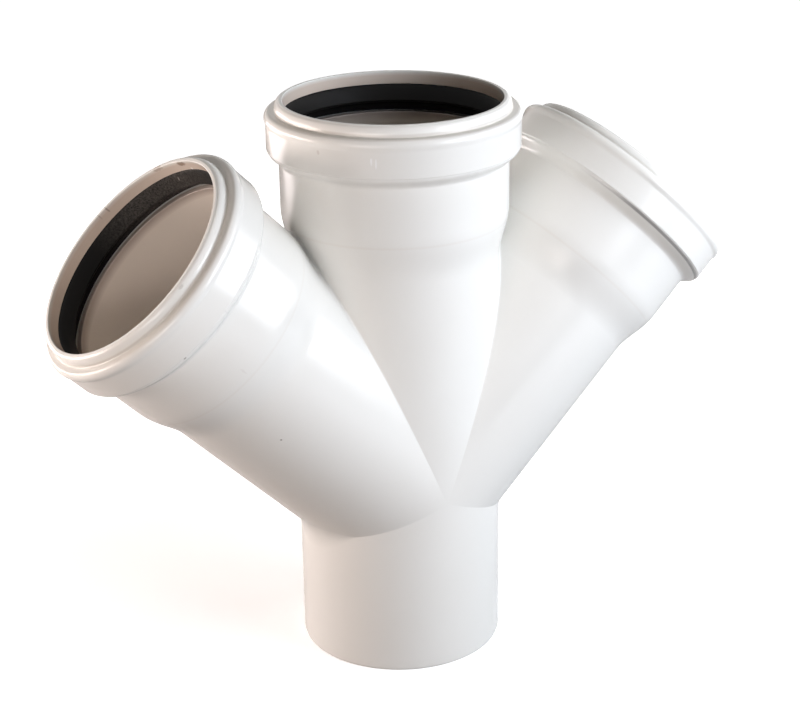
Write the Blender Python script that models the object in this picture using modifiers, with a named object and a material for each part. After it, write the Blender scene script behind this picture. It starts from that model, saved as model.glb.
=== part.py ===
"""Double wye drainage fitting: a plain spigot, a straight run and two side legs.

One moulded body ends in three push-fit sockets, each with a rubber lip seal in its chamber.
Metres, +Z up. The origin is the centre of the spigot's end, the run goes up +Z and the
side legs lean towards -X and +X. Depths in a socket are measured down from its mouth.
"""

import math

import bmesh
import bpy
from mathutils import Matrix, Vector

# Pipe that the fitting takes, and the legs made in its size
PIPE_OD = 0.110
PIPE_WALL = 0.0032

# Where the legs meet and how far they reach
LEG_ANGLE = math.radians(45)
SPIGOT_REACH = 0.0968
SOCKET_REACH = 0.2090

# Round under a side leg: its radius at the side, and how far round from the front a crisp edge
# runs before the round begins
CROTCH_RADIUS = 0.026
CROTCH_START = math.radians(52.5)

# Spigot end
SPIGOT_CHAMFER_LENGTH = 0.0016
SPIGOT_CHAMFER_DEPTH = 0.0005

# Socket barrel and the neck that brings it down to the leg
BORE_CLEARANCE = 0.0010
BARREL_WALL = 0.0039
SOCKET_DEPTH = 0.063
STOP_LENGTH = 0.003
NECK_DEPTH = 0.057
NECK_LENGTH = 0.027

# Mouth lip
MOUTH_CLEARANCE = 0.00205
RIM_WIDTH = 0.00205
RIM_EDGE = 0.0004
LIP_FLARE = 0.0022
LIP_HEIGHT = 0.0050
LIP_FOOT_RADIUS = 0.0007

# Seal chamber and the wall around it
CHAMBER_DEPTH = 0.0070
CHAMBER_HEIGHT = 0.0151
CHAMBER_RELIEF = 0.0072
CHAMBER_TOP_RADIUS = 0.0034
CHAMBER_FOOT_CHAMFER = 0.0012
BORE_LEAD_IN = 0.0005
BAND_WALL = 0.0029

# Bead and band outside the chamber
BEAD_RISE = 0.0007
BEAD_ROUND = 0.0026
BEAD_HEIGHT = 0.0034
BEAD_FADE = 0.0030
BAND_FOOT = 0.0036
BAND_EDGE_ROUND = 0.0009
BAND_EDGE_TURN = 60
STEP_LENGTH = 0.0068

# Lip seal
SEAL_GAP = 0.0003
SEAL_BACK = 0.0029
LIP_SQUEEZE = 0.0010
LIP_SETBACK = 0.0062
LIP_THICKNESS = 0.0024
LIP_CROWN = 0.0006

# Facets round a full turn, a multiple of four so that the legs' edges meet at the mitres
FACETS = 48

# Facets along the rounds and blends of a section
ARC_STEPS = 3
BEAD_STEPS = 5
EDGE_STEPS = 2
BLEND_STEPS = 3
NECK_STEPS = 4
CROTCH_STEPS = 4

# Points closer than this are one point
WELD = 2e-6

# Edges sharper than this stay crisp when the part is shaded smooth
CRISP_ANGLE = math.radians(35)

PIPE_RADIUS = PIPE_OD / 2
PIPE_BORE = PIPE_RADIUS - PIPE_WALL
SOCKET_BORE = PIPE_RADIUS + BORE_CLEARANCE
BARREL_RADIUS = SOCKET_BORE + BARREL_WALL
MOUTH_RADIUS = PIPE_RADIUS + MOUTH_CLEARANCE
RIM_RADIUS = MOUTH_RADIUS + RIM_WIDTH
LIP_RADIUS = RIM_RADIUS + LIP_FLARE
CHAMBER_RADIUS = SOCKET_BORE + CHAMBER_RELIEF
CHAMBER_FLOOR = CHAMBER_DEPTH + CHAMBER_HEIGHT
BAND_RADIUS = CHAMBER_RADIUS + BAND_WALL
BEAD_RADIUS = BAND_RADIUS + BEAD_RISE
BAND_END = CHAMBER_FLOOR + BAND_FOOT

MEETING_POINT = Vector((0, 0, SPIGOT_REACH))
FRONT = Vector((0, -1, 0))


def arc(centre, radii, start, end, steps):
    """Points of an elliptical arc as (radius, depth), angles in degrees, 90 towards the mouth."""
    points = []
    for step in range(steps + 1):
        angle = math.radians(start + (end - start) * step / steps)
        radius = centre[0] + radii[0] * math.cos(angle)
        points.append((radius, centre[1] - radii[1] * math.sin(angle)))
    return points


def ease(start, end, steps):
    """Points of an S-shaped blend between two (radius, depth) points, its ends left out."""
    points = []
    for step in range(1, steps):
        share = step / steps
        rise = (1 - math.cos(math.pi * share)) / 2
        radius = start[0] + (end[0] - start[0]) * rise
        points.append((radius, start[1] + (end[1] - start[1]) * share))
    return points


def chamber_profile(gap):
    """Roof, back wall and foot of the seal chamber, moved inwards by a gap."""
    radius = CHAMBER_TOP_RADIUS
    chamfer = CHAMBER_FOOT_CHAMFER
    roof = CHAMBER_DEPTH + gap
    floor = CHAMBER_FLOOR - gap
    back = CHAMBER_RADIUS - gap
    shoulder = arc((back - radius, roof + radius), (radius, radius), 90, 0, ARC_STEPS)
    return shoulder + [(back, floor - chamfer), (back - chamfer, floor)]


def socket_inside():
    """Inner side of a socket from the mouth down to the leg's bore, as (radius, depth)."""
    points = [(MOUTH_RADIUS, RIM_EDGE), (MOUTH_RADIUS, CHAMBER_DEPTH)]
    points += chamber_profile(0)
    points.append((SOCKET_BORE + BORE_LEAD_IN, CHAMBER_FLOOR))
    points.append((SOCKET_BORE, CHAMBER_FLOOR + BORE_LEAD_IN))
    points.append((SOCKET_BORE, SOCKET_DEPTH))
    points.append((PIPE_BORE, SOCKET_DEPTH + STOP_LENGTH))
    return points


def socket_outside():
    """Outer side of a socket from the mouth down to the leg, as (radius, depth)."""
    points = [(MOUTH_RADIUS + RIM_EDGE, 0), (RIM_RADIUS - RIM_EDGE, 0)]
    points += arc((RIM_RADIUS, LIP_HEIGHT), (LIP_FLARE, LIP_HEIGHT - RIM_EDGE), 90, 0, ARC_STEPS)
    shoulder = LIP_HEIGHT + LIP_FOOT_RADIUS
    points.append((LIP_RADIUS + LIP_FOOT_RADIUS, shoulder))
    crown = (BEAD_RADIUS - BEAD_ROUND, shoulder + BEAD_HEIGHT)
    points += arc(crown, (BEAD_ROUND, BEAD_HEIGHT), 90, 0, BEAD_STEPS)
    band_start = (BAND_RADIUS, crown[1] + BEAD_FADE)
    points += ease(points[-1], band_start, EDGE_STEPS)
    points.append(band_start)
    edge = BAND_EDGE_ROUND
    edge_centre = (BAND_RADIUS - edge, BAND_END - edge)
    points += arc(edge_centre, (edge, edge), 0, -BAND_EDGE_TURN, EDGE_STEPS)
    barrel_start = (BARREL_RADIUS, BAND_END + STEP_LENGTH)
    points += ease(points[-1], barrel_start, BLEND_STEPS)
    points.append(barrel_start)
    neck_start = (BARREL_RADIUS, NECK_DEPTH)
    neck_end = (PIPE_RADIUS, NECK_DEPTH + NECK_LENGTH)
    points.append(neck_start)
    points += ease(neck_start, neck_end, NECK_STEPS)
    points.append(neck_end)
    return points


def socket_leg_profile():
    """Skin of a leg with a socket, as (radius, height over the meeting point), bore side first."""
    inside = [(radius, SOCKET_REACH - depth) for radius, depth in reversed(socket_inside())]
    outside = [(radius, SOCKET_REACH - depth) for radius, depth in socket_outside()]
    return [(PIPE_BORE, -PIPE_WALL)] + inside + outside + [(PIPE_RADIUS, -PIPE_WALL)]


def spigot_leg_profile():
    """Skin of the plain leg, with a chamfer for pushing it home."""
    chamfer_start = SPIGOT_REACH - SPIGOT_CHAMFER_LENGTH
    return [
        (PIPE_BORE, -PIPE_WALL),
        (PIPE_BORE, SPIGOT_REACH),
        (PIPE_RADIUS - SPIGOT_CHAMFER_DEPTH, SPIGOT_REACH),
        (PIPE_RADIUS, chamfer_start),
        (PIPE_RADIUS, -PIPE_WALL),
    ]


def seal_profile():
    """Section of a lip seal as (radius, depth): a body in the chamber and a lip inwards."""
    body = chamber_profile(SEAL_GAP)
    floor = CHAMBER_FLOOR - SEAL_GAP
    heel = CHAMBER_RADIUS - SEAL_GAP - SEAL_BACK
    brow = (MOUTH_RADIUS, CHAMBER_DEPTH + SEAL_GAP)
    tip_radius = PIPE_RADIUS - LIP_SQUEEZE
    tip_depth = CHAMBER_FLOOR - LIP_SETBACK
    half_lip = LIP_THICKNESS / 2
    root = (heel - half_lip, CHAMBER_DEPTH + CHAMBER_HEIGHT / 3)
    tip_foot = (tip_radius + half_lip, tip_depth + half_lip / 2)
    tip_nose = (tip_radius, tip_depth - half_lip)
    crown = ((tip_radius + brow[0]) / 2, (tip_depth + brow[1]) / 2 - LIP_CROWN)
    lip = [root, (tip_radius + LIP_THICKNESS, tip_depth), tip_foot, tip_nose, crown, brow]
    return body + [(heel, floor)] + lip


def turned_object(name, profile, closed, collection):
    """Object with a profile at +X and a Screw modifier that turns it about +Z."""
    mesh = bpy.data.meshes.new(name)
    points = [(radius, 0, height) for radius, height in profile]
    edges = [(index, index + 1) for index in range(len(points) - 1)]
    if closed:
        edges.append((len(points) - 1, 0))
    mesh.from_pydata(points, edges, [])
    obj = bpy.data.objects.new(name, mesh)
    collection.objects.link(obj)
    screw = obj.modifiers.new("turn", "SCREW")
    screw.axis = "Z"
    screw.angle = math.tau
    screw.steps = FACETS
    screw.render_steps = FACETS
    screw.use_smooth_shade = True
    return obj


def leg_direction(lean):
    return Vector((math.sin(lean), 0, math.cos(lean)))


def mitre_normal(lean, other_lean):
    """Normal of the plane midway between two legs, pointing to the first leg's side."""
    return (leg_direction(lean) - leg_direction(other_lean)).normalized()


def mitred_leg(guide, lean, neighbours):
    """The guide's turned skin, leaned over and cut at the mitre plane to each neighbour."""
    graph = bpy.context.evaluated_depsgraph_get()
    mesh = bpy.data.meshes.new_from_object(guide.evaluated_get(graph))
    skin = bmesh.new()
    skin.from_mesh(mesh)
    bpy.data.meshes.remove(mesh)
    place = Matrix.Translation(MEETING_POINT) @ Matrix.Rotation(lean, 4, "Y")
    bmesh.ops.transform(skin, matrix=place, verts=skin.verts)
    for other_lean in neighbours:
        geometry = list(skin.verts) + list(skin.edges) + list(skin.faces)
        normal = mitre_normal(lean, other_lean)
        bmesh.ops.bisect_plane(
            skin, geom=geometry, dist=WELD, plane_co=MEETING_POINT, plane_no=normal, clear_inner=True
        )
    return skin


def crotch_frame(lean, other_lean):
    """Direction of a leg, the side of it that faces the other leg, and cot of half their angle."""
    along = leg_direction(lean)
    other = leg_direction(other_lean)
    side = (other - along * other.dot(along)).normalized()
    return along, side, 1 / math.tan(along.angle(other) / 2)


def crotch_radius(sine):
    """Fillet radius at a place round the leg, given as the sine of its angle from the front."""
    start = math.sin(CROTCH_START)
    if sine <= start:
        return 0
    return CROTCH_RADIUS * (1 - start / sine) / (1 - start)


def slide_back_for_fillet(skin, lean, other_lean):
    """Moves the outer mitre edge of a leg back to where the crotch fillet touches the leg."""
    along, side, cotangent = crotch_frame(lean, other_lean)
    normal = mitre_normal(lean, other_lean)
    skin_middle = (PIPE_RADIUS + PIPE_BORE) / 2
    for vertex in skin.verts:
        offset = vertex.co - MEETING_POINT
        radial = offset - along * offset.dot(along)
        if abs(offset.dot(normal)) < WELD and radial.length > skin_middle:
            sine = radial.dot(side) / PIPE_RADIUS
            vertex.co += along * (crotch_radius(sine) * sine * cotangent)


def add_crotch_fillet(body, lean, other_lean):
    """Rolling-ball fillet between two legs, which shrinks to nothing where their edge is crisp."""
    along, side, cotangent = crotch_frame(lean, other_lean)
    other_along, other_side, cotangent = crotch_frame(other_lean, lean)
    first = round(FACETS * CROTCH_START / math.tau)
    rows = []
    for facet in range(first, FACETS // 2 - first + 1):
        angle = math.tau * facet / FACETS
        out = FRONT * math.cos(angle) + side * math.sin(angle)
        other_out = FRONT * math.cos(angle) + other_side * math.sin(angle)
        radius = crotch_radius(math.sin(angle))
        reach = (PIPE_RADIUS + radius) * math.sin(angle) * cotangent
        ball = MEETING_POINT + out * (PIPE_RADIUS + radius) + along * reach
        row = []
        for step in range(CROTCH_STEPS + 1):
            inward = -out.slerp(other_out, step / CROTCH_STEPS, -out)
            row.append(body.verts.new(ball + inward * radius))
        rows.append(row)
    for row, next_row in zip(rows, rows[1:]):
        for step in range(CROTCH_STEPS):
            body.faces.new((row[step], row[step + 1], next_row[step + 1], next_row[step]))


def make_material(name, colour, roughness):
    material = bpy.data.materials.new(name)
    material.use_nodes = True
    shader = material.node_tree.nodes["Principled BSDF"]
    shader.inputs["Base Color"].default_value = colour
    shader.inputs["Roughness"].default_value = roughness
    shader.inputs["Metallic"].default_value = 0
    return material


def finish(obj, material):
    obj.data.materials.append(material)
    obj.data.shade_smooth()
    obj.data.set_sharp_from_angle(angle=CRISP_ANGLE)


def keep_mitres_crisp(mesh):
    """Marks the mitre edges sharp, also near the front, where the skins meet at a low angle."""
    mitres = ((math.pi, -LEG_ANGLE), (math.pi, LEG_ANGLE), (0, -LEG_ANGLE), (0, LEG_ANGLE))
    for lean, other_lean in mitres:
        along = leg_direction(lean)
        normal = mitre_normal(lean, other_lean)
        on_mitre = set()
        for vertex in mesh.vertices:
            offset = vertex.co - MEETING_POINT
            radius = (offset - along * offset.dot(along)).length
            off_skin = min(abs(radius - PIPE_RADIUS), abs(radius - PIPE_BORE))
            if max(off_skin, abs(offset.dot(normal))) < WELD:
                on_mitre.add(vertex.index)
        for edge in mesh.edges:
            if on_mitre.issuperset(edge.vertices):
                edge.use_edge_sharp = True


def make_body(socket_guide, spigot_guide, collection):
    """Welds the mitred legs and the crotch fillets into one moulded body."""
    spigot_lean = math.pi
    legs = [
        (spigot_guide, spigot_lean, (-LEG_ANGLE, LEG_ANGLE)),
        (socket_guide, -LEG_ANGLE, (spigot_lean, 0)),
        (socket_guide, 0, (-LEG_ANGLE, LEG_ANGLE)),
        (socket_guide, LEG_ANGLE, (spigot_lean, 0)),
    ]
    mesh = bpy.data.meshes.new("fitting_body")
    body = bmesh.new()
    for guide, lean, neighbours in legs:
        skin = mitred_leg(guide, lean, neighbours)
        for other_lean in neighbours:
            if spigot_lean in (lean, other_lean):
                slide_back_for_fillet(skin, lean, other_lean)
        skin.to_mesh(mesh)
        skin.free()
        body.from_mesh(mesh)
    for side_lean in (-LEG_ANGLE, LEG_ANGLE):
        add_crotch_fillet(body, spigot_lean, side_lean)
    bmesh.ops.remove_doubles(body, verts=body.verts, dist=WELD)
    bmesh.ops.recalc_face_normals(body, faces=body.faces)
    body.to_mesh(mesh)
    body.free()
    obj = bpy.data.objects.new("fitting_body", mesh)
    collection.objects.link(obj)
    return obj


def make_seal(name, lean, collection):
    """A lip seal, its axis on the leg's and its section set down from the mouth."""
    section = [(radius, SOCKET_REACH - depth) for radius, depth in seal_profile()]
    seal = turned_object(name, section, True, collection)
    seal.location = MEETING_POINT
    seal.rotation_euler = (0, lean, 0)
    return seal


def main():
    for obj in list(bpy.data.objects):
        bpy.data.objects.remove(obj, do_unlink=True)
    parts = bpy.data.collections.new("double_wye_fitting")
    guides = bpy.data.collections.new("leg_guides")
    for collection in (parts, guides):
        bpy.context.scene.collection.children.link(collection)
    white_plastic = make_material("white_gloss_plastic", (0.83, 0.80, 0.77, 1), 0.18)
    black_rubber = make_material("black_rubber", (0.012, 0.011, 0.011, 1), 0.55)

    socket_guide = turned_object("socket_leg_guide", socket_leg_profile(), False, guides)
    spigot_guide = turned_object("spigot_leg_guide", spigot_leg_profile(), False, guides)
    for guide in (socket_guide, spigot_guide):
        guide.display_type = "WIRE"
        guide.hide_render = True
    bpy.context.view_layer.update()

    body = make_body(socket_guide, spigot_guide, parts)
    finish(body, white_plastic)
    keep_mitres_crisp(body.data)
    for name, lean in (("left_seal", -LEG_ANGLE), ("centre_seal", 0), ("right_seal", LEG_ANGLE)):
        seal = make_seal(name, lean, parts)
        finish(seal, black_rubber)


main()
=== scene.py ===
"""Looks of a double wye drain fitting: its moulded body and lip seals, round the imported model."""

import math

import bmesh
import bpy
from mathutils import Matrix, Vector


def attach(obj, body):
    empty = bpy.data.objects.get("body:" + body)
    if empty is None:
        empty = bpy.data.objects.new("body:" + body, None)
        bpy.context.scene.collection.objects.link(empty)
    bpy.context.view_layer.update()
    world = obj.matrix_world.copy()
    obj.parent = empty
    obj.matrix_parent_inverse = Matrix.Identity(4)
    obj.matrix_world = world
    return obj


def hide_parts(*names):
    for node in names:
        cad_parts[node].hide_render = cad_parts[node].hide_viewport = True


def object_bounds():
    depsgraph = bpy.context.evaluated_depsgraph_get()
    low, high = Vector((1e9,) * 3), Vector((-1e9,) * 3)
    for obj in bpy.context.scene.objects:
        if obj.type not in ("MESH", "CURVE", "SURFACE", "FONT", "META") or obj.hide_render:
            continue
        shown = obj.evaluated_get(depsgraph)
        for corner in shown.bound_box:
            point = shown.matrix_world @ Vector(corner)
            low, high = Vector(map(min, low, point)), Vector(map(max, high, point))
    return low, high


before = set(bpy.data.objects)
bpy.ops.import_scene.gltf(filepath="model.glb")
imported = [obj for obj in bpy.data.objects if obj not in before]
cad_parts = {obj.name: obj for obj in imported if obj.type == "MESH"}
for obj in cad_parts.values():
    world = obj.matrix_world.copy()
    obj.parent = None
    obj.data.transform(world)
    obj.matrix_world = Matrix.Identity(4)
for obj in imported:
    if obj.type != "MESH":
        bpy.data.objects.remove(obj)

cad_low, cad_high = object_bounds()
bpy.ops.object.select_all(action="DESELECT")

# The outer skin of the straight run: a polypropylene tube that widens over a neck into a socket.
# It is round in the mould, so its outline is drawn point by point from the mouth down and spun about
# the leg's axis. Depths run down from the mouth, heights up from where the legs meet.
MM = 0.001
PIPE_RADIUS = 55.0 * MM
SPIGOT_REACH = 96.8 * MM
SOCKET_REACH = cad_high.z - SPIGOT_REACH
MEETING_POINT = Vector((0, 0, SPIGOT_REACH))
BEAD_RADIUS = cad_high.y
BEAD_RISE = 0.7 * MM
BAND_RADIUS = BEAD_RADIUS - BEAD_RISE
BARREL_RADIUS = 59.9 * MM
MOUTH_RADIUS = 57.05 * MM
RIM_RADIUS = 59.1 * MM
RIM_EDGE = 0.4 * MM
RIM_BREAK = 20
LIP_RADIUS = 61.3 * MM
LIP_HEIGHT = 5.0 * MM
FLANK_START = 86
LIP_FOOT = 0.7 * MM
FOOT_START = 195
BEAD_ROUND = 2.6 * MM
BEAD_HEIGHT = 3.4 * MM
BEAD_FADE = 3.0 * MM
BAND_END = 25.7 * MM
BAND_EDGE = 0.9 * MM
BAND_EDGE_TURN = 60
STEP_LENGTH = 6.8 * MM
NECK_DEPTH = 57.0 * MM
NECK_LENGTH = 27.0 * MM
BELOW_MEETING = -3.0 * MM
EDGE_STEPS = 4
FOOT_STEPS = 5
BAND_STEPS = 6
SOFT_STEPS = 10
BEAD_STEPS = 12
NECK_STEPS = 16
TURN_STEPS = 144
WELD = 0.002 * MM


def arc(centre, radii, start, end, steps):
    """Points of an elliptical arc as (radius, depth), angles in degrees, 90 towards the mouth."""
    points = []
    for step in range(steps + 1):
        angle = math.radians(start + (end - start) * step / steps)
        radius = centre[0] + radii[0] * math.cos(angle)
        points.append((radius, centre[1] - radii[1] * math.sin(angle)))
    return points


def ease(start, end, steps):
    """Points of an S-shaped blend from one (radius, depth) point to another."""
    points = []
    for step in range(1, steps + 1):
        share = step / steps
        rise = (1 - math.cos(math.pi * share)) / 2
        radius = start[0] + (end[0] - start[0]) * rise
        points.append((radius, start[1] + (end[1] - start[1]) * share))
    return points


def edit(obj, kind="VERT"):
    """Opens one object in edit mode with everything in it deselected."""
    bpy.ops.object.select_all(action="DESELECT")
    obj.select_set(True)
    bpy.context.view_layer.objects.active = obj
    bpy.ops.object.mode_set(mode="EDIT")
    bpy.ops.mesh.select_mode(type=kind)
    bpy.ops.mesh.select_all(action="DESELECT")


def turned_skin(name, outline):
    """Spins an outline of (radius, height) points round the upright leg's axis. Each point of the
    mesh keeps the radius and the depth below the mouth that it was turned at, for the materials."""
    heights = [(radius, SPIGOT_REACH + height) for radius, height in outline]
    first = (heights[0][0], 0, heights[0][1])
    bpy.ops.mesh.primitive_plane_add(size=MM, location=first)
    skin = bpy.context.object
    skin.name = name
    bpy.ops.object.transform_apply()
    edit(skin)
    bpy.ops.mesh.select_all(action="SELECT")
    bpy.ops.mesh.merge(type="CENTER")
    for start, end in zip(heights, heights[1:]):
        step = (end[0] - start[0], 0, end[1] - start[1])
        bpy.ops.mesh.extrude_region_move(TRANSFORM_OT_translate={"value": step})
    bpy.ops.mesh.select_all(action="SELECT")
    bpy.ops.mesh.spin(steps=TURN_STEPS, angle=math.tau, center=(0, 0, 0), axis=(0, 0, 1))
    bpy.ops.mesh.select_all(action="SELECT")
    bpy.ops.mesh.remove_doubles(threshold=WELD)
    bpy.ops.object.mode_set(mode="OBJECT")
    turned_at = skin.data.attributes.new("turned_at", "FLOAT_VECTOR", "POINT")
    for vertex, entry in zip(skin.data.vertices, turned_at.data):
        depth = SPIGOT_REACH + SOCKET_REACH - vertex.co.z
        entry.vector = (math.hypot(vertex.co.x, vertex.co.y), depth, 0)
    return skin


def up_from_meeting(points):
    """The same points with their depth below the mouth made a height over the meeting point."""
    return [(radius, SOCKET_REACH - depth) for radius, depth in points]


edge_round = (RIM_EDGE, RIM_EDGE)
rim = arc((MOUTH_RADIUS + RIM_EDGE, RIM_EDGE), edge_round, 180, 90, EDGE_STEPS)
rim += arc((RIM_RADIUS - RIM_EDGE, RIM_EDGE), edge_round, 90, RIM_BREAK, EDGE_STEPS)
flank = (LIP_RADIUS - RIM_RADIUS, LIP_HEIGHT - RIM_EDGE)
rim += arc((RIM_RADIUS, LIP_HEIGHT), flank, FLANK_START, 0, SOFT_STEPS)
foot_round = (LIP_FOOT, LIP_FOOT)
rim += arc((LIP_RADIUS + LIP_FOOT, LIP_HEIGHT), foot_round, FOOT_START, 270, FOOT_STEPS)
bead_centre = (BEAD_RADIUS - BEAD_ROUND, LIP_HEIGHT + LIP_FOOT + BEAD_HEIGHT)
band = arc(bead_centre, (BEAD_ROUND, BEAD_HEIGHT), 90, 0, BEAD_STEPS)
band += ease(band[-1], (BAND_RADIUS, bead_centre[1] + BEAD_FADE), BAND_STEPS)
edge_centre = (BAND_RADIUS - BAND_EDGE, BAND_END - BAND_EDGE)
band += arc(edge_centre, (BAND_EDGE, BAND_EDGE), 0, -BAND_EDGE_TURN, BAND_STEPS)
band += ease(band[-1], (BARREL_RADIUS, BAND_END + STEP_LENGTH), SOFT_STEPS)
neck = [(BARREL_RADIUS, NECK_DEPTH)]
neck += ease(neck[0], (PIPE_RADIUS, NECK_DEPTH + NECK_LENGTH), NECK_STEPS)
socket_outline = up_from_meeting(rim + band + neck) + [(PIPE_RADIUS, BELOW_MEETING)]
run_skin = turned_skin("run_skin", socket_outline)

# The side legs and the spigot: the same socket leg moulded twice more, 45 degrees to either side,
# and a plain pipe end below. The skins are cut back to where the fillets touch them and bridged,
# tight along the valleys, and under the side legs sharp in front and widest at the side.
LEG_ANGLE = math.radians(45)
SPIGOT_LEAN = math.pi
VALLEY_RADIUS = 1.2 * MM
VALLEY_CUTS = 3
CROTCH_RADIUS = 26.0 * MM
CROTCH_START = math.radians(52.5)
CROTCH_CUTS = 11
BRIDGE_ROUNDING = 0.74
CHAMFER_LENGTH = 1.6 * MM
CHAMFER_DEPTH = 0.5 * MM
END_ROUND = 0.25 * MM
END_BREAK = -15
PIPE_BORE = 51.8 * MM


def leg_direction(lean):
    """The direction in which a leg with this lean runs from the meeting point."""
    return Vector((math.sin(lean), 0, math.cos(lean)))


def leaned_copy(source, name, lean):
    """A copy of an upright leg, turned about the line where all legs meet."""
    bpy.ops.object.select_all(action="DESELECT")
    source.select_set(True)
    bpy.context.view_layer.objects.active = source
    bpy.ops.object.duplicate()
    copy = bpy.context.object
    copy.name = name
    bpy.ops.transform.rotate(value=-lean, orient_axis="Y", center_override=MEETING_POINT)
    bpy.ops.object.transform_apply()
    return copy


def contact_plane(lean, other_lean, radius, start):
    """Plane in which a fillet towards another leg touches this one: point, normal and side."""
    along = leg_direction(lean)
    other = leg_direction(other_lean)
    side = (other - along * other.dot(along)).normalized()
    cotangent = 1 / math.tan(along.angle(other) / 2)
    growth = radius / (1 - math.sin(start))
    slope = (1 + growth / PIPE_RADIUS) * cotangent
    point = MEETING_POINT - along * growth * math.sin(start) * cotangent
    return point, (along - side * slope).normalized(), side


VALLEY = ((VALLEY_RADIUS, 0),)
CROTCH = ((VALLEY_RADIUS, 0), (CROTCH_RADIUS, CROTCH_START))


def cut_back(leg, lean, other_lean, fillets):
    """Cuts a leg off where its fillets towards another leg touch it."""
    edit(leg)
    for radius, start in fillets:
        bpy.ops.mesh.select_all(action="SELECT")
        point, normal, side = contact_plane(lean, other_lean, radius, start)
        bpy.ops.mesh.bisect(plane_co=point, plane_no=normal, clear_inner=True, threshold=WELD)
    bpy.ops.object.mode_set(mode="OBJECT")


def join(name, pieces):
    """Joins several pieces into the first one and names it."""
    bpy.ops.object.select_all(action="DESELECT")
    for piece in pieces:
        piece.select_set(True)
    bpy.context.view_layer.objects.active = pieces[0]
    bpy.ops.object.join()
    pieces[0].name = name
    return pieces[0]


def bridge_legs(skin, lean, other_lean, fillets, cuts):
    """Bridges the open edges that two legs turn to each other with a rounded strip."""
    planes = [contact_plane(lean, other_lean, *fillet) for fillet in fillets]
    planes += [contact_plane(other_lean, lean, *fillet) for fillet in fillets]
    edit(skin, "EDGE")
    shell = bmesh.from_edit_mesh(skin.data)
    for edge in shell.edges:
        if not edge.is_boundary:
            continue
        ends = [vertex.co for vertex in edge.verts]
        for point, normal, side in planes:
            on_plane = all(abs((end - point).dot(normal)) < WELD for end in ends)
            if on_plane and sum((end - MEETING_POINT).dot(side) for end in ends) > WELD:
                edge.select_set(True)
    bmesh.update_edit_mesh(skin.data)
    bpy.ops.mesh.bridge_edge_loops(
        type="SINGLE", number_cuts=cuts, interpolation="SURFACE", smoothness=BRIDGE_ROUNDING
    )
    bpy.ops.object.mode_set(mode="OBJECT")


spigot_end = SPIGOT_REACH - CHAMFER_LENGTH
spigot_outline = [(PIPE_RADIUS, -BELOW_MEETING), (PIPE_RADIUS, -spigot_end)]
end_centre = (PIPE_RADIUS - CHAMFER_DEPTH - END_ROUND, SPIGOT_REACH - END_ROUND)
end_round = (END_ROUND, END_ROUND)
end_arc = arc(end_centre, end_round, END_BREAK, -90, EDGE_STEPS)
bore_arc = arc((PIPE_BORE + END_ROUND, end_centre[1]), end_round, -90, -180, EDGE_STEPS)
spigot_outline += [(radius, -depth) for radius, depth in end_arc + bore_arc]
spigot_skin = turned_skin("spigot_skin", spigot_outline)
left_skin = leaned_copy(run_skin, "left_skin", -LEG_ANGLE)
right_skin = leaned_copy(run_skin, "right_skin", LEG_ANGLE)

for side_skin, side_lean in ((left_skin, -LEG_ANGLE), (right_skin, LEG_ANGLE)):
    cut_back(side_skin, side_lean, SPIGOT_LEAN, CROTCH)
    cut_back(spigot_skin, SPIGOT_LEAN, side_lean, CROTCH)
    cut_back(side_skin, side_lean, 0, VALLEY)
    cut_back(run_skin, 0, side_lean, VALLEY)
outer_skin = join("outer_skin", [run_skin, left_skin, right_skin, spigot_skin])
for side_lean in (-LEG_ANGLE, LEG_ANGLE):
    bridge_legs(outer_skin, SPIGOT_LEAN, side_lean, CROTCH, CROTCH_CUTS)
    bridge_legs(outer_skin, 0, side_lean, VALLEY, VALLEY_CUTS)

# The inside of the fitting: each socket has a mouth lip, a chamber that holds its seal, a bore for
# the pipe and a stop, then the leg's own bore. The bores meet in sharp mitres. Outside and inside
# are closed at the rims into one moulded wall, in polypropylene pigmented white.
SOCKET_BORE = 56.0 * MM
CHAMBER_DEPTH = 7.0 * MM
CHAMBER_FLOOR = 22.1 * MM
CHAMBER_RADIUS = 63.2 * MM
CHAMBER_ROUND = 3.4 * MM
CHAMBER_STEPS = 6
CHAMBER_CHAMFER = 1.2 * MM
LEAD_IN = 0.5 * MM
SOCKET_DEPTH = 63.0 * MM
STOP_LENGTH = 3.0 * MM
STOP_ROUND = 0.8 * MM
STOP_START = 120
CRISP_EDGE = math.radians(32)

roof_centre = (CHAMBER_RADIUS - CHAMBER_ROUND, CHAMBER_DEPTH + CHAMBER_ROUND)
bore = [(MOUTH_RADIUS, RIM_EDGE), (MOUTH_RADIUS, CHAMBER_DEPTH)]
bore += arc(roof_centre, (CHAMBER_ROUND, CHAMBER_ROUND), 90, 0, CHAMBER_STEPS)
bore.append((CHAMBER_RADIUS, CHAMBER_FLOOR - CHAMBER_CHAMFER))
bore.append((CHAMBER_RADIUS - CHAMBER_CHAMFER, CHAMBER_FLOOR))
lead_in_centre = (SOCKET_BORE + LEAD_IN, CHAMBER_FLOOR + LEAD_IN)
bore += arc(lead_in_centre, (LEAD_IN, LEAD_IN), 90, 180, EDGE_STEPS)
bore.append((SOCKET_BORE, SOCKET_DEPTH))
stop_centre = (PIPE_BORE + STOP_ROUND, SOCKET_DEPTH + STOP_LENGTH)
bore += arc(stop_centre, (STOP_ROUND, STOP_ROUND), STOP_START, 180, EDGE_STEPS)
bore_outline = up_from_meeting(bore) + [(PIPE_BORE, BELOW_MEETING)]
run_bore = turned_skin("run_bore", bore_outline)
left_bore = leaned_copy(run_bore, "left_bore", -LEG_ANGLE)
right_bore = leaned_copy(run_bore, "right_bore", LEG_ANGLE)
spigot_bore = turned_skin("spigot_bore", [(PIPE_BORE, -BELOW_MEETING), (PIPE_BORE, -end_centre[1])])

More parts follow.
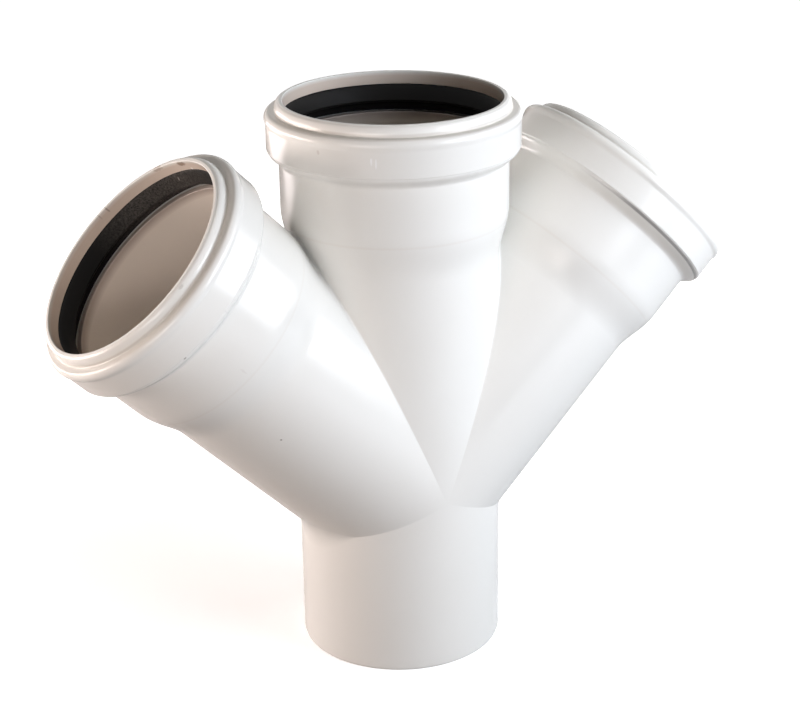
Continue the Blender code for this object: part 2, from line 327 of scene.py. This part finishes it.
MITRE = ((0, 0),)
for side_bore, side_lean in ((left_bore, -LEG_ANGLE), (right_bore, LEG_ANGLE)):
    cut_back(side_bore, side_lean, SPIGOT_LEAN, MITRE)
    cut_back(spigot_bore, SPIGOT_LEAN, side_lean, MITRE)
    cut_back(side_bore, side_lean, 0, MITRE)
    cut_back(run_bore, 0, side_lean, MITRE)
body = join("moulded_body", [outer_skin, run_bore, left_bore, right_bore, spigot_bore])


def close_and_shade(piece, crisp_edge):
    """Welds a shell, turns its faces outwards and shades it smooth up to its crisp edges."""
    edit(piece)
    bpy.ops.mesh.select_all(action="SELECT")
    bpy.ops.mesh.remove_doubles(threshold=WELD)
    bpy.ops.mesh.dissolve_degenerate(threshold=WELD)
    bpy.ops.mesh.select_all(action="SELECT")
    bpy.ops.mesh.normals_make_consistent(inside=False)
    bpy.ops.object.mode_set(mode="OBJECT")
    bpy.ops.object.shade_smooth_by_angle(angle=crisp_edge)
    piece.modifiers.new("even shading", "WEIGHTED_NORMAL").keep_sharp = True
    bpy.ops.object.modifier_apply(modifier="even shading")


close_and_shade(body, CRISP_EDGE)
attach(body, "root")
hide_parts("fitting_body")

# Injection-moulded white polypropylene, glossy from the polished mould. Sink waves and orange peel
# bend its reflections, and handling has dulled it in patches. Brownish painted shade lies in the
# rim's groove, inside the lips and down the bores, and painted shadow under the seals and the right
# band.
POLYPROPYLENE_IOR = 1.49
CLEAN_WHITE = "#f2f1ed"
AGED_WHITE = "#eeece7"
CLOUD_SIZE = 60 * MM
PATCH_SIZE = 18 * MM
PATCH_LOW = 0.35
PATCH_HIGH = 0.7
POLISHED = 0.19
DULLED = 0.26
SINK_SIZE = 30 * MM
SINK_DEPTH = 0.03 * MM
PEEL_SIZE = 2.2 * MM
PEEL_DEPTH = 0.003 * MM
GROOVE_DEPTH = LIP_HEIGHT + LIP_FOOT / 2
BORE_WALL = (0, SOCKET_BORE + 2.5 * MM, 1.0 * MM)
# Painted shade in the hollows of each socket, as depths, radii, colour and strength.
PAINTED_SHADES = (
    # Brownish painted shade in the rim's groove.
    ((GROOVE_DEPTH - 0.8 * MM, GROOVE_DEPTH + 0.4 * MM, 0.9 * MM),
     (RIM_RADIUS, BEAD_RADIUS - 1.5 * MM, 1.5 * MM), "#98866f", 0.25),
    # Brownish painted shade on the lip's inner land, darker towards the seal.
    ((2.5 * MM, CHAMBER_DEPTH, 2.2 * MM),
     (MOUTH_RADIUS - 0.5 * MM, MOUTH_RADIUS + 0.1 * MM, 0.3 * MM), "#c8a78c", 0.5),
    # Brownish painted shade down the bore walls.
    ((CHAMBER_FLOOR - 1.0 * MM, SOCKET_DEPTH, 1.0 * MM), BORE_WALL, "#cdb8a4", 0.45),
    # Painted shadow on the chamber floor, under each seal's lip.
    ((CHAMBER_FLOOR - 1.0 * MM, CHAMBER_FLOOR + 1.5 * MM, 4.0 * MM), BORE_WALL, "#7d6862", 0.55),
)
# Painted shade: a dark line under the right leg's band, where the step below it lies in shade.
UNDER_BAND = (BAND_END + 0.3 * MM, BAND_END + 1.3 * MM, 0.5 * MM)
SHADED_SIDE = (112.0 * MM, cad_high.x, 22.0 * MM)
UNDER_BAND_SHADE = "#4f4a45"
UNDER_BAND_SHADE_STRENGTH = 0.75


def linear(hex_colour):
    """A colour written as sRGB hex, as the linear values that the shaders take."""
    channels = [int(hex_colour[start:start + 2], 16) / 255 for start in (1, 3, 5)]
    return [c / 12.92 if c <= 0.04045 else ((c + 0.055) / 1.055) ** 2.4 for c in channels] + [1]


def add_node(tree, kind, settings, links=()):
    """Adds a node, sets its properties or input values, and links outputs to its inputs."""
    node = tree.nodes.new(kind)
    for name, value in settings.items():
        if isinstance(name, str) and hasattr(node, name):
            setattr(node, name, value)
        else:
            node.inputs[name].default_value = value
    for name, output in dict(links).items():
        tree.links.new(output, node.inputs[name])
    return node


def shade_mask(tree, ranges):
    """One where each value lies between its two limits, with a fade of its third length outside."""
    mask = None
    for value, (low, high, fade) in ranges:
        for start, end in ((low - fade, low), (high + fade, high)):
            edge = add_node(tree, "ShaderNodeMapRange", {"From Min": start, "From Max": end},
                            {"Value": value}).outputs["Result"]
            if mask is not None:
                edge = add_node(tree, "ShaderNodeMath", {"operation": "MULTIPLY"},
                                {0: mask, 1: edge}).outputs[0]
            mask = edge
    return mask


def lay_tint(tree, colour, hex_colour, mask, strength):
    """Lays a colour over another where a mask is one."""
    share = add_node(tree, "ShaderNodeMath", {"operation": "MULTIPLY", 1: strength}, {0: mask})
    mixed = add_node(tree, "ShaderNodeMix", {"data_type": "RGBA", 7: linear(hex_colour)},
                     {0: share.outputs[0], 6: colour})
    return mixed.outputs[2]


white_plastic = bpy.data.materials.new("moulded white polypropylene")
white_plastic.use_nodes = True
tree = white_plastic.node_tree
shader = tree.nodes["Principled BSDF"]
shader.inputs["IOR"].default_value = POLYPROPYLENE_IOR
place = add_node(tree, "ShaderNodeTexCoord", {}).outputs["Object"]
cloud = add_node(tree, "ShaderNodeTexNoise", {"Scale": 1 / CLOUD_SIZE, "Detail": 2.0},
                 {"Vector": place})
whites = {"data_type": "RGBA", 6: linear(CLEAN_WHITE), 7: linear(AGED_WHITE)}
colour = add_node(tree, "ShaderNodeMix", whites, {0: cloud.outputs["Fac"]}).outputs[2]
patches = add_node(tree, "ShaderNodeTexNoise", {"Scale": 1 / PATCH_SIZE, "Detail": 4.0},
                   {"Vector": place})
gloss_range = {"From Min": PATCH_LOW, "From Max": PATCH_HIGH, "To Min": POLISHED, "To Max": DULLED}
dulling = add_node(tree, "ShaderNodeMapRange", gloss_range, {"Value": patches.outputs["Fac"]})
tree.links.new(dulling.outputs["Result"], shader.inputs["Roughness"])
sink = add_node(tree, "ShaderNodeTexNoise", {"Scale": 1 / SINK_SIZE, "Detail": 1.0},
                {"Vector": place})
peel = add_node(tree, "ShaderNodeTexNoise", {"Scale": 1 / PEEL_SIZE, "Detail": 1.0},
                {"Vector": place})
waves = add_node(tree, "ShaderNodeBump", {"Strength": 1.0, "Distance": SINK_DEPTH},
                 {"Height": sink.outputs["Fac"]})
orange_peel = add_node(tree, "ShaderNodeBump", {"Strength": 1.0, "Distance": PEEL_DEPTH},
                       {"Height": peel.outputs["Fac"], "Normal": waves.outputs["Normal"]})
tree.links.new(orange_peel.outputs["Normal"], shader.inputs["Normal"])

turned_at = add_node(tree, "ShaderNodeAttribute", {"attribute_name": "turned_at"})
turned_at = add_node(tree, "ShaderNodeSeparateXYZ", {}, {0: turned_at.outputs["Vector"]})
radius, depth = turned_at.outputs["X"], turned_at.outputs["Y"]
# Lays the painted shade and shadow in the hollows of each socket.
for shaded_depths, shaded_radii, shade_colour, strength in PAINTED_SHADES:
    mask = shade_mask(tree, ((depth, shaded_depths), (radius, shaded_radii)))
    colour = lay_tint(tree, colour, shade_colour, mask, strength)
# Lays the painted shade under the right leg's band.
along = add_node(tree, "ShaderNodeSeparateXYZ", {}, {0: place}).outputs["X"]
band_shade_mask = shade_mask(tree, ((depth, UNDER_BAND), (along, SHADED_SIDE)))
colour = lay_tint(tree, colour, UNDER_BAND_SHADE, band_shade_mask, UNDER_BAND_SHADE_STRENGTH)

# Marks of use that the fitting has: brown smudges, lines and nicks on the left mouth, scuffs on the
# bands and grit on the left leg. Each has a place on its leg, as degrees round it and mm out from
# its axis and down from its mouth, then its half-lengths, its leg's lean, a colour and a strength.
MARKS = (
    ((23, 57, 2), (2.2, 4.0, 1.7), -LEG_ANGLE, "#7a5a44", 0.65),
    ((40, 57, 0.5), (3.2, 3.6, 1.6), -LEG_ANGLE, "#9a7b62", 0.4),
    ((78, 57, 1), (0.5, 2.0, 2.8), -LEG_ANGLE, "#6e5646", 0.42),
    ((83.5, 57, 1), (0.5, 2.0, 2.4), -LEG_ANGLE, "#8a7565", 0.25),
    ((18.5, 57, 7), (0.6, 0.8, 1.5), -LEG_ANGLE, "#ffffff", 0.9),
    ((273.5, 60.5, 1.5), (1.9, 1.0, 0.8), -LEG_ANGLE, "#9a9387", 0.3),
    ((250.5, 65.5, 26), (0.9, 1.2, 0.6), -LEG_ANGLE, "#9a938a", 0.7),
    ((276.5, 65.5, 26), (0.5, 1.2, 2.2), -LEG_ANGLE, "#e0dcd8", 0.4),
    ((260.5, 60, 57.5), (0.6, 1.2, 2.4), -LEG_ANGLE, "#e0dcd8", 0.4),
    ((242, 55, 105.5), (0.55, 0.7, 0.55), -LEG_ANGLE, "#857a70", 0.8),
    ((235, 66, 17.5), (0.4, 1.2, 2.6), 0, "#ffffff", 0.8),
    ((233, 66, 16.5), (0.4, 1.2, 2.2), 0, "#ffffff", 0.8),
    ((208.5, 66, 14), (1.0, 1.0, 1.2), 0, "#cfc8c1", 0.5),
)
RAGGED_SIZE = 1.5 * MM
MARK_OUTSIDE = 1.6
MARK_INSIDE = 1.1


def place_on_leg(turn, out, down, lean):
    """The point at a turn round a leg, at mm out from its axis and mm down from its mouth."""
    around = Matrix.Rotation(math.radians(turn), 3, "Z") @ Vector((out * MM, 0, 0))
    upright = around + Vector((0, 0, SOCKET_REACH - down * MM))
    return MEETING_POINT + Matrix.Rotation(lean, 3, "Y") @ upright


def lay_marks(tree, place, colour, marks):
    """Lays ragged oval marks over a colour, each turned to the leg that it is on."""
    ragged = add_node(tree, "ShaderNodeTexNoise", {"Scale": 1 / RAGGED_SIZE, "Detail": 3.0},
                      {"Vector": place}).outputs["Fac"]
    for mark_place, half_lengths, lean, mark_colour, strength in marks:
        middle = place_on_leg(*mark_place, lean)
        centred = add_node(tree, "ShaderNodeVectorMath", {"operation": "SUBTRACT", 1: middle},
                           {0: place})
        upright = add_node(tree, "ShaderNodeVectorRotate",
                           {"rotation_type": "Y_AXIS", "Angle": -lean},
                           {"Vector": centred.outputs[0]})
        halves = [length * MM for length in half_lengths]
        scaled = add_node(tree, "ShaderNodeVectorMath", {"operation": "DIVIDE", 1: halves},
                          {0: upright.outputs["Vector"]})
        away = add_node(tree, "ShaderNodeVectorMath", {"operation": "LENGTH"},
                        {0: scaled.outputs[0]})
        edge = add_node(tree, "ShaderNodeMath", {"operation": "ADD"},
                        {0: away.outputs["Value"], 1: ragged})
        mark = add_node(tree, "ShaderNodeMapRange",
                        {"From Min": MARK_OUTSIDE, "From Max": MARK_INSIDE},
                        {"Value": edge.outputs[0]})
        colour = lay_tint(tree, colour, mark_colour, mark.outputs["Result"], strength)
    return colour


colour = lay_marks(tree, place, colour, MARKS)
tree.links.new(colour, shader.inputs["Base Color"])
body.data.materials.clear()
body.data.materials.append(white_plastic)

# The lip seals: rings of satin black rubber, moulded and pushed into the chambers. The back fills a
# chamber's upper half, and the lip reaches inwards and down, where a pipe bends it outwards. Dust
# specks, with a painted sheen, grey the left seal's upper right, and the centre one is scratched.
# Dust and grain are drawn coarse, to show.
SEAL_GAP = 0.3 * MM
SEAL_BACK = 2.9 * MM
BACK_STEPS = 8
LIP_SQUEEZE = 1.0 * MM
LIP_SETBACK = 6.2 * MM
LIP_THICKNESS = 2.4 * MM
LIP_CROWN = 0.6 * MM
CROWN_STEPS = 10
NOSE_START = -75
NOSE_END = -190
NOSE_STEPS = 8
BROW_ROUND = 0.35 * MM
BROW_START = 160
RUBBER_IOR = 1.52
RUBBER_SPECULAR = 0.1
BLACK = "#070707"
GREYED_BLACK = "#100f0f"
BLOOM_SIZE = 9 * MM
RUBBER_SHINY = 0.42
RUBBER_DULL = 0.62
GRAIN_SIZE = 0.5 * MM
GRAIN_DEPTH = 0.02 * MM
# Dust specks on the left seal, thickest at its upper right, where they also paint a sheen on the
# lip's face.
DUST_AND_SHEEN_PLACE = (47.5, 54.5, 12.5)
DUST_AND_SHEEN_REACH = 48.0 * MM
DUST_AND_SHEEN_CORE = DUST_AND_SHEEN_REACH / 3
DUST_AND_SHEEN = "#67635f"
DUST_AND_SHEEN_STRENGTH = 0.7
SPECK_SIZE = 1.1 * MM
SPECK_LOW = 0.3
SPECK_HIGH = 0.75
SEAL_MARKS = (
    ((18.5, 57, 17), (0.9, 0.9, 3.4), 0, "#9a9691", 0.8),
    ((33.5, 56, 11), (0.9, 0.6, 1.6), -LEG_ANGLE, "#8a857f", 0.6),
)

seal_roof = CHAMBER_DEPTH + SEAL_GAP
seal_back = CHAMBER_RADIUS - SEAL_GAP
seal_floor = CHAMBER_FLOOR - SEAL_GAP
heel = seal_back - SEAL_BACK
tip_radius = PIPE_RADIUS - LIP_SQUEEZE
tip_depth = CHAMBER_FLOOR - LIP_SETBACK
half_lip = LIP_THICKNESS / 2
back_centre = (seal_back - CHAMBER_ROUND, seal_roof + CHAMBER_ROUND)
seal = arc(back_centre, (CHAMBER_ROUND, CHAMBER_ROUND), 90, 0, BACK_STEPS)
seal.append((seal_back, seal_floor - CHAMBER_CHAMFER))
seal += [(seal_back - CHAMBER_CHAMFER, seal_floor), (heel, seal_floor)]
lip_root = CHAMBER_DEPTH + (CHAMBER_FLOOR - CHAMBER_DEPTH) / 3
seal += [(heel - half_lip, lip_root), (tip_radius + LIP_THICKNESS, tip_depth)]
nose_centre = (tip_radius + half_lip, tip_depth - half_lip / 2)
seal += arc(nose_centre, (half_lip, half_lip), NOSE_START, NOSE_END, NOSE_STEPS)
for step in range(1, CROWN_STEPS):
    share = step / CROWN_STEPS
    bulge = LIP_CROWN * 4 * share * (1 - share)
    seal_radius = tip_radius + (MOUTH_RADIUS - tip_radius) * share
    seal.append((seal_radius, nose_centre[1] + (seal_roof - nose_centre[1]) * share - bulge))
brow_centre = (MOUTH_RADIUS + BROW_ROUND, seal_roof + BROW_ROUND)
seal += arc(brow_centre, (BROW_ROUND, BROW_ROUND), BROW_START, 90, EDGE_STEPS)
seal.append(seal[0])
centre_seal = turned_skin("centre_lip_seal", up_from_meeting(seal))
left_seal = leaned_copy(centre_seal, "left_lip_seal", -LEG_ANGLE)
right_seal = leaned_copy(centre_seal, "right_lip_seal", LEG_ANGLE)

black_rubber = bpy.data.materials.new("moulded black rubber")
black_rubber.use_nodes = True
tree = black_rubber.node_tree
shader = tree.nodes["Principled BSDF"]
shader.inputs["IOR"].default_value = RUBBER_IOR
shader.inputs["Specular IOR Level"].default_value = RUBBER_SPECULAR
place = add_node(tree, "ShaderNodeTexCoord", {}).outputs["Object"]
bloom = add_node(tree, "ShaderNodeTexNoise", {"Scale": 1 / BLOOM_SIZE, "Detail": 5.0},
                 {"Vector": place}).outputs["Fac"]
blacks = {"data_type": "RGBA", 6: linear(BLACK), 7: linear(GREYED_BLACK)}
colour = add_node(tree, "ShaderNodeMix", blacks, {0: bloom}).outputs[2]
# Grey dust specks fading out from the left seal's upper right, partly a painted sheen.
dust_and_sheen_middle = place_on_leg(*DUST_AND_SHEEN_PLACE, -LEG_ANGLE)
centred = add_node(tree, "ShaderNodeVectorMath", {"operation": "SUBTRACT", 1: dust_and_sheen_middle},
                   {0: place})
away = add_node(tree, "ShaderNodeVectorMath", {"operation": "LENGTH"}, {0: centred.outputs[0]})
dust_and_sheen_fade = add_node(tree, "ShaderNodeMapRange", {"From Min": DUST_AND_SHEEN_REACH, "From Max": DUST_AND_SHEEN_CORE},
                 {"Value": away.outputs["Value"]})
speckled = {"Scale": 1 / SPECK_SIZE, "Detail": 5.0, "Roughness": 0.75}
specks = add_node(tree, "ShaderNodeTexNoise", speckled, {"Vector": place})
specks = add_node(tree, "ShaderNodeMapRange", {"From Min": SPECK_LOW, "From Max": SPECK_HIGH},
                  {"Value": specks.outputs["Fac"]})
dust_and_sheen = add_node(tree, "ShaderNodeMath", {"operation": "MULTIPLY"},
                {0: dust_and_sheen_fade.outputs["Result"], 1: specks.outputs["Result"]})
colour = lay_tint(tree, colour, DUST_AND_SHEEN, dust_and_sheen.outputs[0], DUST_AND_SHEEN_STRENGTH)
colour = lay_marks(tree, place, colour, SEAL_MARKS)
tree.links.new(colour, shader.inputs["Base Color"])
rubber_gloss = add_node(tree, "ShaderNodeMapRange",
                        {"To Min": RUBBER_SHINY, "To Max": RUBBER_DULL}, {"Value": bloom})
tree.links.new(rubber_gloss.outputs["Result"], shader.inputs["Roughness"])
grain = add_node(tree, "ShaderNodeTexNoise", {"Scale": 1 / GRAIN_SIZE, "Detail": 2.0},
                 {"Vector": place})
grain_bump = add_node(tree, "ShaderNodeBump", {"Strength": 1.0, "Distance": GRAIN_DEPTH},
                      {"Height": grain.outputs["Fac"]})
tree.links.new(grain_bump.outputs["Normal"], shader.inputs["Normal"])

seals = ((left_seal, "left_seal"), (centre_seal, "centre_seal"), (right_seal, "right_seal"))
for seal_piece, node in seals:
    close_and_shade(seal_piece, CRISP_EDGE)
    seal_piece.data.materials.clear()
    seal_piece.data.materials.append(black_rubber)
    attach(seal_piece, "root")
    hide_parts(node)

# The camera stands in front of the left leg and above the sockets, and looks down on the fitting
# through a long lens. Its place, turn and lens were fitted to the rims and edges in the photo.
CAMERA_PLACE = Vector((-448.4, -868.8, 546.7)) * MM
CAMERA_TURN = [math.radians(angle) for angle in (68.308, 0.852, -27.722)]
CAMERA_LENS = 87.46
SENSOR_WIDTH = 36
FAR_END = 30
bpy.ops.object.camera_add(location=CAMERA_PLACE, rotation=CAMERA_TURN)
camera = bpy.context.object
camera.data.lens = CAMERA_LENS
camera.data.sensor_width = SENSOR_WIDTH
camera.data.clip_end = FAR_END
bpy.context.scene.camera = camera

# The studio: a sheet of white paper that runs out of sight in every direction. The camera and the
# gloss see it white, with the fitting's soft shadow, and by itself it bounces only a dim light.
PAPER_SIZE = 24
PAPER_ROUGHNESS = 0.9
SEEN_PAPER = "#ffffff"
BOUNCING_PAPER = "#4c4845"
NEAR_GLOW = 0.36
FAR_GLOW = 1.0
GLOW_START = 0.1
GLOW_END = 0.9
AIR = "#ffffff"
AIR_LEVEL = 0.04


def rays_that_see(tree):
    """One for the camera's own rays and those through glass, and one for these and for gloss."""
    path = add_node(tree, "ShaderNodeLightPath", {}).outputs
    in_view = add_node(tree, "ShaderNodeMath", {"operation": "MAXIMUM"},
                       {0: path["Is Camera Ray"], 1: path["Is Transmission Ray"]}).outputs[0]
    seen = add_node(tree, "ShaderNodeMath", {"operation": "MAXIMUM"},
                    {0: in_view, 1: path["Is Glossy Ray"]}).outputs[0]
    return in_view, seen


bpy.ops.mesh.primitive_plane_add(size=PAPER_SIZE, location=(0, 0, 0))
floor = bpy.context.object
floor.name = "studio_floor"
paper = bpy.data.materials.new("white studio paper")
paper.use_nodes = True
tree = paper.node_tree
shader = tree.nodes["Principled BSDF"]
shader.inputs["Roughness"].default_value = PAPER_ROUGHNESS
shader.inputs["Specular IOR Level"].default_value = 0.0
shader.inputs["Emission Color"].default_value = linear(SEEN_PAPER)
in_view, seen = rays_that_see(tree)
papers = {"data_type": "RGBA", 6: linear(BOUNCING_PAPER), 7: linear(SEEN_PAPER)}
paper_colour = add_node(tree, "ShaderNodeMix", papers, {0: seen})
tree.links.new(paper_colour.outputs[2], shader.inputs["Base Color"])
place = add_node(tree, "ShaderNodeTexCoord", {}).outputs["Object"]
away = add_node(tree, "ShaderNodeVectorMath", {"operation": "LENGTH"}, {0: place})
glow_range = {"interpolation_type": "SMOOTHSTEP", "From Min": GLOW_START, "From Max": GLOW_END,
              "To Min": NEAR_GLOW, "To Max": FAR_GLOW}
glow = add_node(tree, "ShaderNodeMapRange", glow_range, {"Value": away.outputs["Value"]})
glow = add_node(tree, "ShaderNodeMath", {"operation": "MULTIPLY"},
                {0: in_view, 1: glow.outputs["Result"]})
tree.links.new(glow.outputs[0], shader.inputs["Emission Strength"])
floor.data.materials.append(paper)

world = bpy.data.worlds.new("studio air")
bpy.context.scene.world = world
world.use_nodes = True
tree = world.node_tree
background = tree.nodes["Background"]
background.inputs["Color"].default_value = linear(AIR)
in_view, seen = rays_that_see(tree)
air = add_node(tree, "ShaderNodeMapRange", {"To Min": AIR_LEVEL, "To Max": 1.0}, {"Value": seen})
tree.links.new(air.outputs["Result"], background.inputs["Strength"])

# The lamps: oval soft boxes round the fitting. Two on the right are the key, low warm ones stand on
# the left and behind, and a weak one hangs overhead, so the insides of the mouths stay in shade.
LIT_POINT = Vector((0, 0, 0.2))


def add_softbox(name, place, width, height, power, hex_colour):
    """A soft box at a place, turned to face the middle of the fitting."""
    bpy.ops.object.light_add(type="AREA", location=place)
    box = bpy.context.object
    box.name = name
    box.rotation_euler = (LIT_POINT - Vector(place)).to_track_quat("-Z", "Y").to_euler()
    box.data.shape = "ELLIPSE"
    box.data.size = width
    box.data.size_y = height
    box.data.energy = power
    box.data.color = linear(hex_colour)[:3]
    box.visible_camera = False


add_softbox("right_box", (0.48, -0.68, 0.42), 0.70, 0.50, 7.3, "#eef5ff")
add_softbox("side_box", (0.78, -0.28, 0.50), 0.60, 0.45, 2.2, "#fcfcff")
add_softbox("front_strip", (-0.66, -0.54, 0.25), 0.60, 0.25, 2.5, "#fff3ed")
add_softbox("left_strip", (-0.76, 0.37, 0.21), 0.60, 0.25, 4.6, "#ffefe7")
add_softbox("back_left_strip", (-0.40, 0.75, 0.15), 0.60, 0.28, 2.5, "#fff4f3")
add_softbox("back_right_strip", (0.70, 0.46, 0.15), 0.60, 0.28, 1.1, "#fff8f1")
add_softbox("overhead_box", (0.05, -0.10, 1.50), 0.60, 0.60, 1.8, "#ffeedb")

bpy.context.scene.view_settings.view_transform = "Standard"
